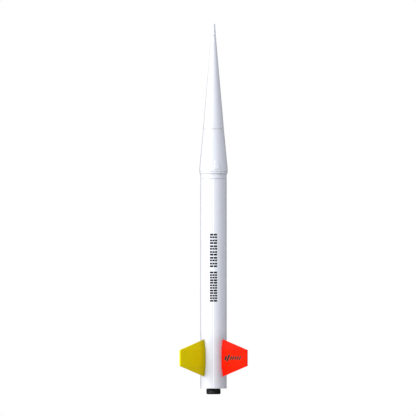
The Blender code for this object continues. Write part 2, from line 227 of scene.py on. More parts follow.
# Rolled parachute
ROLL_INSET = 0.8 * MM  # room for its folds
ROLL_SOFT = 9 * MM
ROLL_LAYER = 2.4 * MM
ROLL_DISH = 0.9  # mean depth of the spiral in its ends, in millimetres
ROLL_CENTRE = 3 * MM  # radius within which the spiral fades out
ROLL_LAP = 1.3  # depth of the lapped edge in millimetres
ROLL_LAP_TURN = 0.05  # the part of a turn in which the lap fades
ROLL_LAP_FROM = 0.6  # the share of the radius from which the lap shows
ROLL_END_POINTS = 24
ROLL_CORNER_POINTS = 10
ROLL_SIDE_POINTS = 60

# Markings on the tube and on the red fin
MARK_DEPTH = 0.08 * MM
MARK_SUNK = 0.04 * MM  # how far the films and the fairing sink into what they are on
MARK_HALF = 10.6 * MM
MARK_BAR = 5.1 * MM
MARK_BARS_APART = 7.6 * MM
MARK_GAP = 1.2 * MM
MARK_COLUMNS = 12
MARK_GROUPS = ((269.0 * MM, 356.4 * MM), (369.5 * MM, 466.3 * MM))
BLOCKS_IN_GROUP = 6
FIN_MARK_Z = 105.5 * MM
FIN_MARK_LEAN = 0.45
FIN_MARK_BARS = (  # distance from the axis, width and height of each bar, in millimetres
    (55, 7.5, 14),
    (65, 8.0, 21),
    (76, 7.0, 11),
    (85, 6.5, 11),
    (94, 6.5, 11),
    (103, 6.5, 11),
    (112, 6.0, 13),
)


# ---- mesh helpers ----


def span(cad):
    """Outer radius, foot and top of a CAD node that is turned about the rocket's axis."""
    low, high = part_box(cad)
    return high.x, low.z, high.z


def smooth(mesh):
    mesh.shade_smooth()
    mesh.set_sharp_from_angle(angle=SMOOTH_ANGLE)
    return mesh


def show(name, mesh, materials, body, slot, *nodes):
    """Shows the mesh as a piece that rides on a body and stands for these CAD nodes."""
    piece = bpy.data.objects.new(name, mesh)
    bpy.context.scene.collection.objects.link(piece)
    for finish in materials:
        mesh.materials.append(finish)
    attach(piece, body)
    if nodes:
        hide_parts(*nodes)
    return piece


def ring(inner, outer, foot, top):
    """The outline of a plain ring as (radius, height) points."""
    return [(inner, top), (outer, top), (outer, foot), (inner, foot)]


def rounded(outline, radius):
    """The closed outline with rounded corners, and a point either side of each that keeps the flats flat."""
    count = len(outline)
    points = []
    for i, corner in enumerate(outline):
        if corner[0] <= 0:
            points.append(corner)
            continue
        here = Vector(corner)
        before = Vector(outline[i - 1]) - here
        after = Vector(outline[(i + 1) % count]) - here
        reach = min(radius, before.length * CORNER_SHARE, after.length * CORNER_SHARE)
        start = here + before.normalized() * reach
        end = here + after.normalized() * reach
        points.append(tuple(here + before.normalized() * reach * CORNER_GUARD))
        for k in range(CORNER_POINTS + 1):
            t = k / CORNER_POINTS
            points.append(tuple(start * (1 - t) ** 2 + here * 2 * t * (1 - t) + end * t**2))
        points.append(tuple(here + after.normalized() * reach * CORNER_GUARD))
    return points


def outward(bm, mesh):
    """Keeps a bmesh as the mesh, with its faces turned outwards, and smooths it."""
    bmesh.ops.recalc_face_normals(bm, faces=bm.faces)
    bm.to_mesh(mesh)
    bm.free()
    return smooth(mesh)


def solid(name, points, faces):
    """A smooth closed mesh from points and faces."""
    mesh = bpy.data.meshes.new(name)
    mesh.from_pydata(points, [], faces)
    bm = bmesh.new()
    bm.from_mesh(mesh)
    return outward(bm, mesh)


def turned(name, outline, steps=STEPS, shape=None, angles=None):
    """A mesh turned about Z from a closed outline. shape(radius, height, angle) may move each point."""
    angles = angles or [math.tau * i / steps for i in range(steps)]
    points = []
    rows = []
    for radius, height in outline:
        row = []
        for angle in angles:
            if radius <= 0 and row:
                row.append(row[0])
                continue
            r, z = shape(radius, height, angle) if shape else (radius, height)
            row.append(len(points))
            points.append((r * math.cos(angle), r * math.sin(angle), z))
        rows.append(row)
    faces = []
    for here, after in zip(rows, rows[1:] + rows[:1]):
        for i in range(len(angles)):
            j = (i + 1) % len(angles)
            corners = list(dict.fromkeys((here[i], here[j], after[j], after[i])))
            if len(corners) > 2:
                faces.append(corners)
    return solid(name, points, faces)


def cut(mesh, cutter, matrix):
    """The mesh with the cutter, moved by a matrix, cut out of it."""
    scene = bpy.context.scene.collection
    piece = bpy.data.objects.new("cut_piece", mesh)
    tool = bpy.data.objects.new("cut_tool", cutter)
    tool.matrix_world = matrix
    scene.objects.link(piece)
    scene.objects.link(tool)
    modifier = piece.modifiers.new("cut", "BOOLEAN")
    modifier.solver = "EXACT"
    modifier.object = tool
    evaluated = piece.evaluated_get(bpy.context.evaluated_depsgraph_get())
    result = bpy.data.meshes.new_from_object(evaluated)
    bpy.data.objects.remove(piece)
    bpy.data.objects.remove(tool)
    return smooth(result)


def prism(name, outline, foot, top):
    """A closed prism along Z from an outline of (x, y) points."""
    count = len(outline)
    points = [(x, y, z) for z in (foot, top) for x, y in outline]
    faces = [list(range(count))[::-1], list(range(count, 2 * count))]
    faces += [(i, (i + 1) % count, count + (i + 1) % count, count + i) for i in range(count)]
    mesh = bpy.data.meshes.new(name)
    mesh.from_pydata(points, [], faces)
    return mesh


def drilled(mesh, x, foot, top):
    """The mesh with a bolt hole through it along Z."""
    outline = [(0.0, top + MM), (BOLT_HOLE_R, top + MM), (BOLT_HOLE_R, foot - MM), (0.0, foot - MM)]
    return cut(mesh, turned("hole", outline, TINY_STEPS), Matrix.Translation((x, 0, 0)))


def refined(cad):
    """A copy of a fin shell's CAD mesh with its facets joined and its edges bevelled."""
    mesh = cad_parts[cad].data.copy()
    mesh.materials.clear()
    bm = bmesh.new()
    bm.from_mesh(mesh)
    bmesh.ops.remove_doubles(bm, verts=bm.verts, dist=WELD)
    bmesh.ops.dissolve_limit(bm, angle_limit=COPLANAR, verts=bm.verts, edges=bm.edges)
    sharp = [e for e in bm.edges if e.is_manifold and e.calc_face_angle() > FIN_CREASE]
    bevel = {"offset": FIN_BEVEL, "segments": 2, "profile": 0.5, "affect": "EDGES", "clamp_overlap": True}
    bmesh.ops.bevel(bm, geom=sharp, **bevel)
    bm.to_mesh(mesh)
    bm.free()
    mesh.shade_smooth()
    return mesh


def weigh_normals(piece):
    """Keeps the flats flat-shaded up to their bevels."""
    modifier = piece.modifiers.new("normals", "WEIGHTED_NORMAL")
    modifier.keep_sharp = True


# ---- material helpers ----


def node(tree, kind, inputs=(), **settings):
    """A new node. Each input is a constant, or another node's output to link."""
    made = tree.nodes.new(kind)
    for name, value in settings.items():
        setattr(made, name, value)
    for name, value in dict(inputs).items():
        if isinstance(value, bpy.types.NodeSocket):
            tree.links.new(value, made.inputs[name])
        else:
            made.inputs[name].default_value = value
    return made


def principled(name, roughness, metallic=0.0, specular=0.5):
    made = bpy.data.materials.new(name)
    made.use_nodes = True
    shader = made.node_tree.nodes["Principled BSDF"]
    shader.inputs["Roughness"].default_value = roughness
    shader.inputs["Metallic"].default_value = metallic
    shader.inputs["Specular IOR Level"].default_value = specular
    return made, made.node_tree, shader


def place(tree, scale=(1, 1, 1)):
    """Object coordinates in millimetres, stretched by a scale."""
    where = node(tree, "ShaderNodeTexCoord")
    scaled = node(tree, "ShaderNodeMapping", {"Vector": where.outputs["Object"]})
    scaled.inputs["Scale"].default_value = [1000 * s for s in scale]
    return scaled.outputs["Vector"]


def noise(tree, vector, size, detail=3.0):
    """Noise whose lumps are about this many units of the vector across."""
    made = node(tree, "ShaderNodeTexNoise", {"Vector": vector, "Scale": 1 / size, "Detail": detail})
    return made.outputs["Fac"]


def remap(tree, value, low, high, start=0.0, end=1.0):
    inputs = {"Value": value, "From Min": low, "From Max": high, "To Min": start, "To Max": end}
    return node(tree, "ShaderNodeMapRange", inputs).outputs["Result"]


def calculate(tree, operation, first, second=0.0):
    made = node(tree, "ShaderNodeMath", operation=operation)
    for socket, value in zip(made.inputs, (first, second)):
        if isinstance(value, bpy.types.NodeSocket):
            tree.links.new(value, socket)
        else:
            socket.default_value = value
    return made.outputs[0]


def mixed(tree, factor, first, second):
    """A colour between two colours."""
    made = node(tree, "ShaderNodeMix", data_type="RGBA")
    for socket, value in zip((made.inputs[0], made.inputs[6], made.inputs[7]), (factor, first, second)):
        if isinstance(value, bpy.types.NodeSocket):
            tree.links.new(value, socket)
        else:
            socket.default_value = value if socket.type == "VALUE" else (*value, 1.0)
    return made.outputs[2]


def times(tree, first, second):
    return calculate(tree, "MULTIPLY", first, second)


def apart(tree, first, second):
    """The distance between two values."""
    return calculate(tree, "ABSOLUTE", calculate(tree, "SUBTRACT", first, second))


def split(tree, vector):
    """The X, Y and Z of a vector."""
    return node(tree, "ShaderNodeSeparateXYZ", {"Vector": vector}).outputs


def angle_about_axis(tree, parts):
    return calculate(tree, "ARCTAN2", parts["Y"], parts["X"])


def bump(tree, shader, height, distance):
    made = node(tree, "ShaderNodeBump", {"Height": height, "Distance": distance, "Strength": 1.0})
    tree.links.new(made.outputs["Normal"], shader.inputs["Normal"])


def helix(tree, pitch, width):
    """A line wound round the rocket's axis: 1 in its middle and 0 away from it. In millimetres."""
    parts = split(tree, place(tree))
    turn = calculate(tree, "DIVIDE", angle_about_axis(tree, parts), math.tau)
    height = calculate(tree, "DIVIDE", parts["Z"], pitch)
    phase = calculate(tree, "FRACT", calculate(tree, "ADD", turn, height))
    return remap(tree, apart(tree, phase, 0.5), 0.0, width / pitch / 2, 1.0, 0.0)


# ---- materials ----


def joint_heights():
    """Heights of the joints and the groove that run round the rocket."""
    cone_foot = span("nose_cone_aft")[1]
    joints = (span("body_tube")[2], cone_foot, cone_foot + CONE_GROOVE, span("nose_cone_forward")[1])
    return joints + (span("nose_tip")[1] + TENON,)


def gloss_white(name, tube):
    """White gloss paint: slight orange peel, faint grime, and a darker line of it in each joint.

    On the tube there are also the card's wound seam under the paint, a painted highlight along the front seam
    and painted shade by the fins.
    """
    made, tree, shader = principled(name, 0.26)
    where = place(tree)
    stain = remap(tree, noise(tree, where, 45.0), 0.35, 0.75)
    base = mixed(tree, stain, WHITE, tuple(c * 0.985 for c in WHITE))
    parts = split(tree, where)
    for joint in joint_heights():
        off = apart(tree, parts["Z"], joint / MM)
        base = mixed(tree, remap(tree, off, JOINT_GRIME_EDGE, JOINT_GRIME_CORE), base, JOINT_GRIME)
    if tube:
        # a pale line down the front middle of the tube: a painted highlight along the seam ridge
        ahead = remap(tree, parts["Y"], 0.0, -1.0)
        aside = remap(tree, calculate(tree, "ABSOLUTE", parts["X"]), *SEAM_HIGHLIGHT_LINE)
        base = mixed(tree, times(tree, ahead, aside), base, SEAM_HIGHLIGHT_COLOUR)
        # painted shade on the tube by the fins: darkest next to each fin, lighter midway between them, fading
        # out above the fins
        quarters = times(tree, angle_about_axis(tree, parts), 2.0)
        near_fin = calculate(tree, "ABSOLUTE", calculate(tree, "SINE", quarters))
        low = remap(tree, parts["Z"], FIN_SHADE_TOP, FIN_SHADE_FULL)
        low = times(tree, low, remap(tree, parts["Z"], *FIN_SHADE_EASE, FIN_SHADE_FOOT, 1.0))
        painted_shade = times(tree, low, remap(tree, near_fin, 0.0, 1.0, FIN_SHADE_MIDWAY, 1.0))
        base = mixed(tree, times(tree, painted_shade, FIN_SHADE), base, BLACK)
    tree.links.new(base, shader.inputs["Base Color"])
    gloss = remap(tree, noise(tree, where, 18.0), 0.3, 0.7, 0.24, 0.28)
    tree.links.new(gloss, shader.inputs["Roughness"])
    height = times(tree, noise(tree, where, 1.6, 2.0), 0.12)
    if tube:
        wound = times(tree, helix(tree, WOUND_PITCH, WOUND_WIDTH), WOUND_RELIEF)
        height = calculate(tree, "SUBTRACT", height, wound)
    bump(tree, shader, height, 0.02 * MM)
    shader.inputs["Coat Weight"].default_value = 1.0
    shader.inputs["Coat Roughness"].default_value = 0.08
    shader.inputs["Coat IOR"].default_value = 1.8
    return made


def moulded(name, colours):
    """Satin moulded plastic: fine grain, soft colour drift, hair scratches, and painted shade at the fins'
    roots.
    """
    made, tree, shader = principled(name, 0.4, specular=0.06)
    where = place(tree)
    drift = remap(tree, noise(tree, where, 30.0), 0.3, 0.7)
    flat = node(tree, "ShaderNodeVectorMath", {0: where, 1: (1.0, 1.0, 0.0)}, operation="MULTIPLY")
    away = node(tree, "ShaderNodeVectorMath", {0: flat.outputs[0]}, operation="LENGTH").outputs["Value"]
    # painted shade near each fin's root, darkest next to the tube
    painted_shade = remap(tree, away, ROOT_SHADE_FULL, ROOT_SHADE_END, ROOT_SHADE, 0.0)
    base = mixed(tree, painted_shade, mixed(tree, drift, *colours), BLACK)
    tree.links.new(base, shader.inputs["Base Color"])
    long_way = noise(tree, place(tree, (1, 1, 0.06)), 0.5, 4.0)
    scratch = remap(tree, long_way, 0.68, 0.76, 0.0, 0.12)
    grain = noise(tree, where, 0.7, 2.0)
    dull = calculate(tree, "ADD", remap(tree, grain, 0.3, 0.7, 0.36, 0.44), scratch)
    tree.links.new(dull, shader.inputs["Roughness"])
    bump(tree, shader, calculate(tree, "SUBTRACT", grain, scratch), 0.012 * MM)
    return made


def black_anodised():
    """Black anodised aluminium with turning marks, a little paler where it is handled."""
    made, tree, shader = principled("black_anodised", 0.4, specular=0.22)
    marks = noise(tree, place(tree, (0.02, 0.02, 1)), 0.18)
    worn = remap(tree, noise(tree, place(tree), 3.0, 5.0), 0.58, 0.8)
    tree.links.new(mixed(tree, worn, *ANODISED), shader.inputs["Base Color"])
    tree.links.new(remap(tree, marks, 0.3, 0.7, 0.3, 0.48), shader.inputs["Roughness"])
    bump(tree, shader, marks, 0.01 * MM)
    return made


def kraft():
    """Spiral-wound kraft card: long fibres and the edges of the wound strips."""
    made, tree, shader = principled("kraft_card", 0.8, specular=0.25)
    fibres = noise(tree, place(tree, (1, 1, 0.25)), 0.9, 6.0)
    base = mixed(tree, remap(tree, fibres, 0.3, 0.7), *CARD)
    line = helix(tree, KRAFT_PITCH, KRAFT_LINE)
    lined = mixed(tree, times(tree, line, 0.6), base, CARD_LINE)
    tree.links.new(lined, shader.inputs["Base Color"])
    bump(tree, shader, calculate(tree, "SUBTRACT", fibres, line), 0.08 * MM)
    return made


def plywood():
    """Birch plywood: a stretched grain on the faces, and every other ply dark along the edges."""
    made, tree, shader = principled("plywood", 0.62, specular=0.3)
    grain = noise(tree, place(tree, (0.12, 1, 1)), 1.1, 6.0)
    face = mixed(tree, remap(tree, grain, 0.3, 0.7), *PLY_FACE)
    ply = calculate(tree, "FRACT", calculate(tree, "DIVIDE", split(tree, place(tree))["Z"], PLY_PAIR))
    dark_ply = remap(tree, apart(tree, ply, 0.5), 0.22, 0.28)
    facing = split(tree, node(tree, "ShaderNodeNewGeometry").outputs["Normal"])
    on_edge = remap(tree, calculate(tree, "ABSOLUTE", facing["Z"]), 0.5, 0.3)
    dark = times(tree, on_edge, dark_ply)
    tree.links.new(mixed(tree, dark, face, PLY_DARK), shader.inputs["Base Color"])
    bump(tree, shader, grain, 0.05 * MM)
    return made


def zinc_steel():
    """Bright zinc plate with a faint warm and cool mottle."""
    made, tree, shader = principled("zinc_steel", 0.3, metallic=1.0)
    where = place(tree)
    mottle = remap(tree, noise(tree, where, 2.5, 4.0), 0.3, 0.7)
    tree.links.new(mixed(tree, mottle, *ZINC), shader.inputs["Base Color"])
    tree.links.new(remap(tree, noise(tree, where, 0.6), 0.3, 0.7, 0.22, 0.38), shader.inputs["Roughness"])
    return made


def ripstop():
    """Orange ripstop nylon: a fine weave with a heavier thread every few millimetres, both ways."""
    made, tree, shader = principled("ripstop_nylon", 0.55, specular=0.35)
    parts = split(tree, place(tree))
    around = times(tree, angle_about_axis(tree, parts), RIPSTOP_R)
    threads = []
    weave = []
    for run in (around, parts["Z"]):
        check = calculate(tree, "FRACT", calculate(tree, "DIVIDE", run, RIPSTOP_GRID))
        threads.append(remap(tree, apart(tree, check, 0.5), 0.03, 0.06, 1.0, 0.0))
        weave.append(calculate(tree, "SINE", times(tree, run, RIPSTOP_WEAVE)))
    ribs = calculate(tree, "MAXIMUM", *threads)
    tree.links.new(mixed(tree, ribs, *NYLON), shader.inputs["Base Color"])
    cloth = times(tree, times(tree, *weave), 0.4)
    bump(tree, shader, calculate(tree, "ADD", cloth, ribs), 0.06 * MM)
    shader.inputs["Sheen Weight"].default_value = 0.3
    shader.inputs["Sheen Roughness"].default_value = 0.4
    return made


def ink(name, colour):
    """Printed ink film with a slightly uneven lay."""
    made, tree, shader = principled(name, 0.5, specular=0.12)
    patch = remap(tree, noise(tree, place(tree), 2.2, 5.0), 0.35, 0.75)
    pale = tuple(c * 1.5 + 0.001 for c in colour)
    tree.links.new(mixed(tree, patch, colour, pale), shader.inputs["Base Color"])
    return made


# ---- airframe ----


def build_tube(paint, card):
    """The body tube, white outside and bare card inside, with a fine straight seam down its front."""
    radius, foot, top = span("body_tube")
    angles = [math.tau * i / STEPS for i in range(STEPS)]
    seam_half_angle = SEAM_HALF / radius
    angles = [a for a in angles if abs(a - math.tau - FRONT) > seam_half_angle]
    steps = range(-SEAM_POINTS, SEAM_POINTS + 1)
    angles += [math.tau + FRONT + seam_half_angle * i / SEAM_POINTS for i in steps]
    angles.sort()

    def seam(r, z, angle):
        along = (angle - math.tau - FRONT) / seam_half_angle
        if r < radius - TUBE_WALL / 2 or abs(along) >= 1:
            return r, z
        return r + SEAM_RISE * (1 + math.cos(math.pi * along)) / 2, z

    outline = rounded(ring(radius - TUBE_WALL, radius, foot, top), TUBE_EDGE)
    mesh = turned("body_tube_skin", outline, shape=seam, angles=angles)
    mesh.materials.append(paint)
    mesh.materials.append(card)
    for face in mesh.polygons:
        face.material_index = int(math.hypot(face.center.x, face.center.y) < radius - 0.8 * TUBE_WALL)
    near, far = radius - SLOT_OVERRUN, radius + SLOT_OVERRUN
    sides = ((near, -SLOT_HALF), (far, -SLOT_HALF), (far, SLOT_HALF), (near, SLOT_HALF))
    for degrees in FIN_PLACES.values():
        slot = prism("slot", sides, SLOT_FOOT, SLOT_TOP)
        mesh = cut(mesh, slot, Matrix.Rotation(math.radians(degrees), 4, "Z"))
    show("body_tube_skin", mesh, [], "airframe", "white_paint", "body_tube")


def build_motor_mount(card, wood):
    """The motor tube, the thrust ring in it, and the three centering rings on it."""
    motor_r, foot, top = span("motor_mount_tube")
    bore = motor_r - MOTOR_WALL
    mesh = turned("motor_tube", rounded(ring(bore, motor_r, foot, top), SOFT_EDGE), SMALL_STEPS)
    show("motor_tube", mesh, [card], "airframe", "kraft_card", "motor_mount_tube")
    radius, foot, top = span("motor_thrust_ring")
    mesh = turned("thrust_ring", rounded(ring(THRUST_BORE, radius, foot, top), SOFT_EDGE), SMALL_STEPS)
    show("thrust_ring", mesh, [card], "airframe", "kraft_card", "motor_thrust_ring")
    for where in ("aft", "middle", "forward"):
        name = f"centering_ring_{where}"
        radius, foot, top = span(name)
        mesh = turned(name, rounded(ring(motor_r + PARTING, radius, foot, top), PLY_EDGE))
        if where == "forward":
            mesh = drilled(mesh, bolt_x("anchor_eye_bolt"), foot, top)
        show(f"ply_ring_{where}", mesh, [wood], "airframe", "plywood", name)


def helical(height, angle, pitch, depth):
    """How far a thread's surface stands out at this place, from 0 to depth."""
    phase = (height / pitch - angle / math.tau) % 1.0
    return depth * min(1.0, max(0.0, THREAD_SLOPE * (1 - abs(2 * phase - 1)) - THREAD_ROOT))


def build_retainer_body(metal):
    """The threaded ring glued on the motor tube, under the cap."""
    radius, foot, top = span("retainer_body")
    bore = span("motor_mount_tube")[0] + PARTING
    root = CAP_BORE - THREAD_CLEARANCE - THREAD_DEPTH
    flange_foot = top - FLANGE_HEIGHT
    rows = int((flange_foot - foot) / THREAD_PITCH * THREAD_ROWS)
    outline = [(bore, top), (radius, top), (radius, flange_foot)]
    outline = rounded(outline + [(root, flange_foot), (root, foot), (bore, foot)], SOFT_EDGE)
    fine = []
    for here, after in zip(outline, outline[1:] + outline[:1]):
        fine.append(here)
        if max(abs(here[0] - root), abs(after[0] - root)) < SAME and here[1] - after[1] > MM:
            fine += [(root, here[1] + (after[1] - here[1]) * i / rows) for i in range(1, rows)]

    def thread(r, z, angle):
        rise = max(0.0, (z - foot - THREAD_RUN_OUT) / MM)
        ends = min(1.0, rise, max(0.0, (flange_foot - THREAD_RUN_OUT - z) / MM))
        if abs(r - root) > SAME or ends <= 0:
            return r, z
        return r + ends * helical(z, angle, THREAD_PITCH, THREAD_DEPTH), z

    mesh = turned("retainer_thread", fine, STEPS, thread)
    show("retainer_thread", mesh, [metal], "airframe", "black_anodised", "retainer_body")


def build_cap(metal):
    """The screw-on cap: knurled bands parted by two turned grooves, a rounded foot and a threaded bore."""
    radius, foot, top = span("retainer_cap")
    outline = [(CAP_BORE, top), (radius, top)]
    groove_r = radius - CAP_GROOVE_DEPTH
    for height in reversed(CAP_GROOVES):
        outline += [(radius, height + CAP_GROOVE_HALF), (groove_r, height + CAP_GROOVE_HALF / 2)]
        outline += [(groove_r, height - CAP_GROOVE_HALF / 2), (radius, height - CAP_GROOVE_HALF)]
    for i in range(CAP_ROUND_STEPS + 1):
        angle = math.pi / 2 * i / CAP_ROUND_STEPS
        outline.append((radius - CAP_ROUND * (1 - math.cos(angle)), foot + CAP_ROUND * (1 - math.sin(angle))))
    outline += [(CAP_HOLE_R, foot), (CAP_HOLE_R, foot + CAP_LIP), (CAP_BORE, foot + CAP_LIP)]
    outline = rounded(outline, SOFT_EDGE)
    fine = []
    for here, after in zip(outline, outline[1:] + outline[:1]):
        fine.append(here)
        if here[0] == after[0] == CAP_BORE:
            rise = (after[1] - here[1]) / CAP_BORE_ROWS
            fine += [(CAP_BORE, here[1] + rise * i) for i in range(1, CAP_BORE_ROWS)]

    def knurl(r, z, angle):
        if r > radius - WELD and foot + CAP_ROUND < z < top - CAP_PLAIN:
            tooth = abs(2 * (angle * KNURL_TEETH / math.tau % 1.0) - 1)
            return r - KNURL_DEPTH * tooth, z
        if r == CAP_BORE and foot + CAP_LIP + MM < z < top - MM:
            return r - helical(z, angle, THREAD_PITCH, CAP_THREAD_DEPTH), z
        return r, z

    mesh = turned("retainer_cap_knurled", fine, KNURL_TEETH * 4, knurl)
    show("retainer_cap_knurled", mesh, [metal], "retainer", "black_anodised", "retainer_cap")


def build_fins(red, yellow):
    """Each fin is two moulded half shells that meet in a fine parting line."""
    for where in FIN_PLACES:
        finish = red if where in RED_FINS else yellow
        slot = "red_plastic" if where in RED_FINS else "yellow_plastic"
        for half in (1, 2):
            cad = f"fin_{where}_shell_{half}"
            name = f"fin_{where}_half_{half}"
            weigh_normals(show(name, refined(cad), [finish], "airframe", slot, cad))


def build_lugs(paint):
    """Two launch lugs, each bedded on the tube in a smoothed bead of glue, all painted over."""
    tube_r = span("body_tube")[0]
    for where in ("aft", "forward"):
        low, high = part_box(f"launch_lug_{where}")
        radius = (high.x - low.x) / 2
        centre_y = (low.y + high.y) / 2
        mesh = turned("lug", rounded(ring(radius - LUG_WALL, radius, low.z, high.z), SOFT_EDGE), TINY_STEPS)
        mesh.transform(Matrix.Translation((0, centre_y, 0)))
        show(f"lug_{where}", mesh, [paint], "airframe", "white_paint", f"launch_lug_{where}")
        bead = []
        rise = BEAD_RISE * radius
        for i in range(-BEAD_STEPS, BEAD_STEPS + 1):
            across = i / BEAD_STEPS
            height = rise * (1 - abs(across)) ** 2
            x = BEAD_HALF * across
            bead.append((x, math.sqrt(tube_r**2 - x**2) - BEAD_EDGE + height))
        under = [(x * BEAD_UNDERCUT, math.sqrt(tube_r**2 - x**2) - BEAD_SUNK) for x, _ in reversed(bead)]
        rest = prism("bead", bead + under, low.z - BEAD_OVERRUN, high.z + BEAD_OVERRUN)
        bore_r = radius - LUG_WALL / 2
        bore = [(0.0, high.z + BORE_OVERRUN), (bore_r, high.z + BORE_OVERRUN)]
        bore += [(bore_r, low.z - BORE_OVERRUN), (0.0, low.z - BORE_OVERRUN)]
        mesh = cut(rest, turned("bore", bore, TINY_STEPS), Matrix.Translation((0, centre_y, 0)))
        show(f"lug_bead_{where}", mesh, [paint], "airframe", "white_paint")


# ---- bolts and nuts ----


def bolt_x(name):
    """Where the bolt's axis is along X."""
    low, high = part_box(name)
    return (low.x + high.x) / 2


def build_eye_bolt(name, body, metal, eye_above, thread_length):
    """An eye bent from wire, with a rolled thread on the end of its shank."""
    low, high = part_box(name)
    centre_x = bolt_x(name)
    if eye_above:
        eye_z = high.z - EYE_R - WIRE_R
        shank_end, towards_shank = low.z, -1
    else:
        eye_z = low.z + EYE_R + WIRE_R
        shank_end, towards_shank = high.z, 1
    start = eye_z + towards_shank * EYE_R
    path = [Vector((0, 0, shank_end))]
    count = int(abs(shank_end - start) / (BOLT_PITCH / BOLT_ROWS))
    path += [Vector((0, 0, shank_end + (start - shank_end) * i / count)) for i in range(1, count)]
    for i in range(EYE_POINTS + 1):
        turn = (math.tau - EYE_OPENING) * i / EYE_POINTS
        path.append(Vector((EYE_R * math.sin(turn), 0, eye_z + towards_shank * EYE_R * math.cos(turn))))
    points = []
    for i, here in enumerate(path):
        along = (path[min(i + 1, len(path) - 1)] - path[max(i - 1, 0)]).normalized()
        side = Vector((0, 1, 0)).cross(along)
        travelled = abs(here.z - shank_end) if i < count else thread_length
        threaded = travelled < thread_length
        for k in range(WIRE_SIDES):
            angle = math.tau * k / WIRE_SIDES
            rise = helical(travelled, angle, BOLT_PITCH, BOLT_THREAD) if threaded else BOLT_THREAD / 2
            radius = WIRE_R - BOLT_THREAD + rise
            if i == 0:
                radius *= WIRE_END
            points.append(here + radius * (math.cos(angle) * side + math.sin(angle) * Vector((0, 1, 0))))
    faces = [list(range(WIRE_SIDES))]
    for i in range(len(path) - 1):
        for k in range(WIRE_SIDES):
            after = (k + 1) % WIRE_SIDES
            a, b = i * WIRE_SIDES, (i + 1) * WIRE_SIDES
            faces.append((a + k, b + k, b + after, a + after))
    last = (len(path) - 1) * WIRE_SIDES
    faces.append([last + k for k in reversed(range(WIRE_SIDES))])
    mesh = solid(name, [p + Vector((centre_x, 0, 0)) for p in points], faces)
    show(f"{name}_wire", mesh, [metal], body, "zinc_steel", name)


def build_nut(name, body, metal):
    """A hexagon nut with turned chamfers and a countersunk bore."""
    low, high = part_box(name)
    corner = (high.x - low.x) / 2
    flat = corner * math.cos(math.pi / 6)
    bore = BOLT_HOLE_R - NUT_GRIP
    mouth = bore + NUT_CHAMFER
    upper, lower = high.z - NUT_CHAMFER, low.z + NUT_CHAMFER
    outline = [(mouth, high.z), (flat, high.z), (corner, upper), (corner, lower)]
    outline += [(flat, low.z), (mouth, low.z), (bore, lower), (bore, upper)]

    def hexagon(r, z, angle):
        from_flat = angle % (math.pi / 3) - math.pi / 6
        return min(r, flat / math.cos(from_flat)), z

    mesh = turned(name, rounded(outline, NUT_EDGE), NUT_STEPS, hexagon)
    mesh.transform(Matrix.Translation(((low.x + high.x) / 2, 0, 0)))
    show(f"{name}_hex", mesh, [metal], body, "zinc_steel", name)


# ---- nose ----


